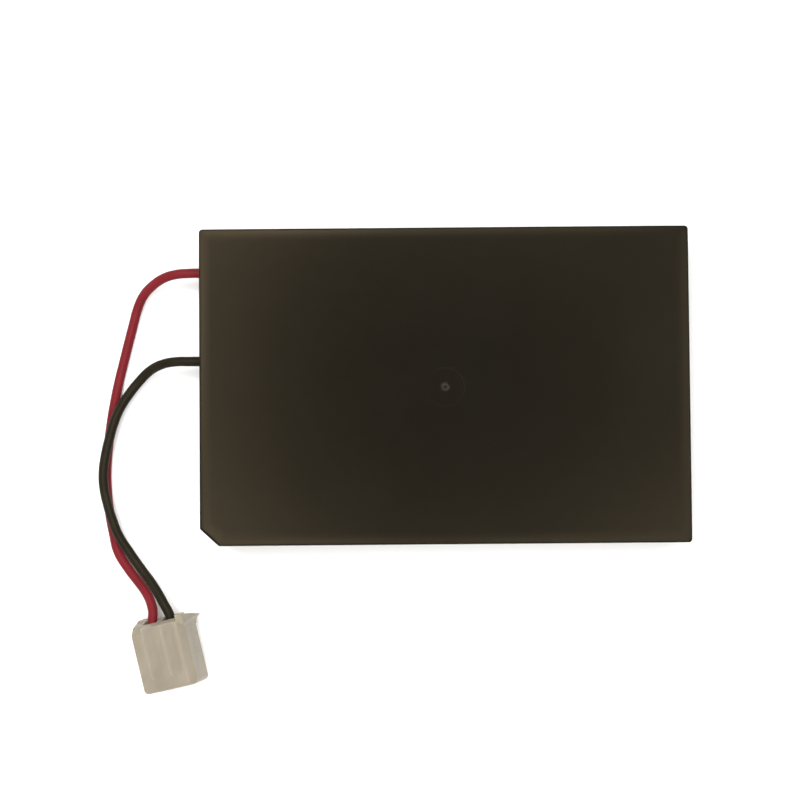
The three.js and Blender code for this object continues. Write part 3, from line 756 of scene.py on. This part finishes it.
def way_cuts(y):
    """One way's cuts: its cavity, its flared pin entry, the groove over it and the window under it."""
    top = HOUSING.z
    half_way = WAY_SIZE / 2
    yield box("way", (-PAST, y - half_way.x, top / 2 - half_way.y),
              (WAY_END, y + half_way.x, top / 2 + half_way.y))
    yield bars("pin_entry", [
        (along, y, half, top / 2, half) for along, half in (
            (WAY_END - 0.1, PIN_HALF),
            (HOUSING.x - PIN_FLARE_DEPTH, PIN_HALF),
            (HOUSING.x, PIN_FLARE_HALF),
            (HOUSING.x + PAST, PIN_FLARE_HALF),
        )
    ], SQUARE)
    yield bars("groove", [
        (along, y, half, top, -depth) for along, half, depth in (
            (-PAST, GROOVE_HALF, GROOVE_DEPTH),
            (GROOVE_END - GROOVE_RUN_OUT, GROOVE_HALF, GROOVE_DEPTH),
            (GROOVE_END, GROOVE_END_HALF, GROOVE_END_DEPTH),
        )
    ], GROOVE_SECTION)
    yield box("window", (WINDOW_X[0], y - WINDOW_HALF, -PAST), (WINDOW_X[1], y + WINDOW_HALF, top / 2))


def housing_cuts():
    """The ear's lean, the slanting mouth and its low side, and then the cuts of both ways."""
    top = HOUSING.z
    mouth = [
        (-PAST, MOUTH_Z), (0, MOUTH_Z), (MOUTH_BACK, top), (MOUTH_BACK, top + PAST), (-PAST, top + PAST),
    ]
    side = [
        (-PAST, MOUTH_Z), (0, MOUTH_Z), (0.35, 4), (1.4, top), (1.4, top + PAST), (-PAST, top + PAST),
    ]
    lean = [
        (-PAST, -PAST), (EAR_TIP, -PAST), (EAR_TIP - 0.02, 0), (0.2, MOUTH_Z), (EAR_BACK, top), (-PAST, top),
    ]
    cuts = [
        prism("lean", lean, WAYS[1] + WAY_SIZE.x / 2, HOUSING.y + PAST, "xzy"),
        prism("mouth", mouth, -PAST, EAR_Y, "xzy"),
        prism("side", side, -PAST, WAYS[0] - WAY_SIZE.x / 2 + 0.05, "xzy"),
    ]
    for y in WAYS:
        cuts += way_cuts(y)
    return cuts


def make_housing():
    """Nylon moulding: built by cuts, then remeshed and eased so that every edge is a moulded one."""
    housing = housing_block()
    combine(housing, "UNION", [housing_ear(), housing_lug()])
    combine(housing, "DIFFERENCE", housing_cuts())
    remesh = housing.modifiers.new("remesh", "REMESH")
    remesh.mode = "VOXEL"
    remesh.voxel_size = VOXEL_SIZE
    ease = housing.modifiers.new("ease", "SMOOTH")
    ease.factor = 0.5
    ease.iterations = 10
    lighten = housing.modifiers.new("lighten", "DECIMATE")
    lighten.ratio = 0.35
    baked(housing)
    housing.data.transform(housing_matrix())
    shade(housing, 180)
    show(housing, "nylon", "plug_housing")
    return housing


make_case()
make_cover()
make_label()
housing = make_housing()


# ---- stage, light and view ------------------------------------------------------------------

# The floor's reach is in millimetres, and the lights' distance from the case in metres.
FLOOR_REACH = 3000
LIGHT_DISTANCE = 0.4

# Each light's name, bearing from -Y and height in degrees, width in metres, and power in watts.
LIGHTS = (
    ("left", -90, 74, 0.1, 0.22),
    ("far_left", -135, 66, 0.15, 0.84),
    ("far", 180, 66, 0.15, 0.48),
    ("far_right", 135, 74, 0.1, 0.045),
    ("right", 90, 66, 0.15, 0.4),
    ("near_right", 45, 74, 0.1, 0.22),
    ("near_left", -45, 74, 0.1, 0.35),
    ("near_overhead", 0, 80, 0.08, 0.055),
)

# The world's wall of light fades from one strength to the other between two sines of elevation.
WALL_FADE = (0.45, 0.75)
WALL_STRENGTHS = (1.1, 0.03)
WALL_COLOUR = (1, 0.97, 0.92, 1)


def make_floor():
    """A wide, flat, pale floor that the pack stands on."""
    surface = Surface("floor", Specular_IOR_Level=0.2, Roughness=0.8)
    surface.tones(surface.span(surface.noise(60), 0, 1), linear(246, 246, 245), linear(249, 249, 248))
    bm = bmesh.new()
    bm.faces.new([bm.verts.new((x * FLOOR_REACH, y * FLOOR_REACH, 0)) for x, y in SQUARE])
    floor = solid(bm, "floor")
    floor.data.materials.append(surface.material)


def aimed(azimuth, elevation):
    """The turn of a light that stands at this bearing from -Y and this height, shining inwards."""
    a, e = math.radians(azimuth), math.radians(elevation)
    back = Vector((math.sin(a) * math.cos(e), -math.cos(a) * math.cos(e), math.sin(e)))
    return back.to_track_quat("Z", "Y")


def make_light(name, azimuth, elevation, size, power):
    """A soft square light aimed at the case's centre."""
    data = bpy.data.lights.new(name, "AREA")
    data.shape = "SQUARE"
    data.size = size
    data.energy = power
    light = bpy.data.objects.new(name, data)
    bpy.context.scene.collection.objects.link(light)
    turn = aimed(azimuth, elevation).to_matrix().to_4x4()
    away = Matrix.Translation((0, 0, LIGHT_DISTANCE))
    light.matrix_world = Matrix.Translation(case_centre) @ turn @ away


def make_sun(azimuth, elevation, strength, softness):
    """An even light over the whole floor. softness is its angle across the sky."""
    data = bpy.data.lights.new("sun", "SUN")
    data.energy = strength
    data.angle = math.radians(softness)
    sun = bpy.data.objects.new("sun", data)
    bpy.context.scene.collection.objects.link(sun)
    sun.matrix_world = aimed(azimuth, elevation).to_matrix().to_4x4()


def make_world():
    """A studio wall of light all round the horizon that fades to a dark ceiling."""
    world = bpy.data.worlds.new("world")
    world.use_nodes = True
    tree = world.node_tree
    background = tree.nodes["Background"]
    background.inputs["Color"].default_value = WALL_COLOUR
    way = tree.nodes.new("ShaderNodeTexCoord")
    parts = tree.nodes.new("ShaderNodeSeparateXYZ")
    fade = tree.nodes.new("ShaderNodeMapRange")
    set_range(fade, *WALL_FADE, *WALL_STRENGTHS)
    tree.links.new(way.outputs["Generated"], parts.inputs["Vector"])
    tree.links.new(parts.outputs["Z"], fade.inputs["Value"])
    tree.links.new(fade.outputs["Result"], background.inputs["Strength"])
    bpy.context.scene.world = world


make_floor()
make_world()
for row in LIGHTS:
    make_light(*row)
make_sun(azimuth=0, elevation=45, strength=0.7, softness=35)
bpy.context.scene.view_settings.view_transform = "Standard"


# ---- carried-over CAD nodes and the cords -----------------------------------------------------

for entry in frame["record"]["subparts"]:
    node = frame["nodes"][entry["node"]]
    node.data.materials.clear()
    node.data.materials.append(materials[entry["material_slot"]])

for lead, route in ((red_lead, RED_ROUTE), (black_lead, BLACK_ROUTE)):
    route_length(route)
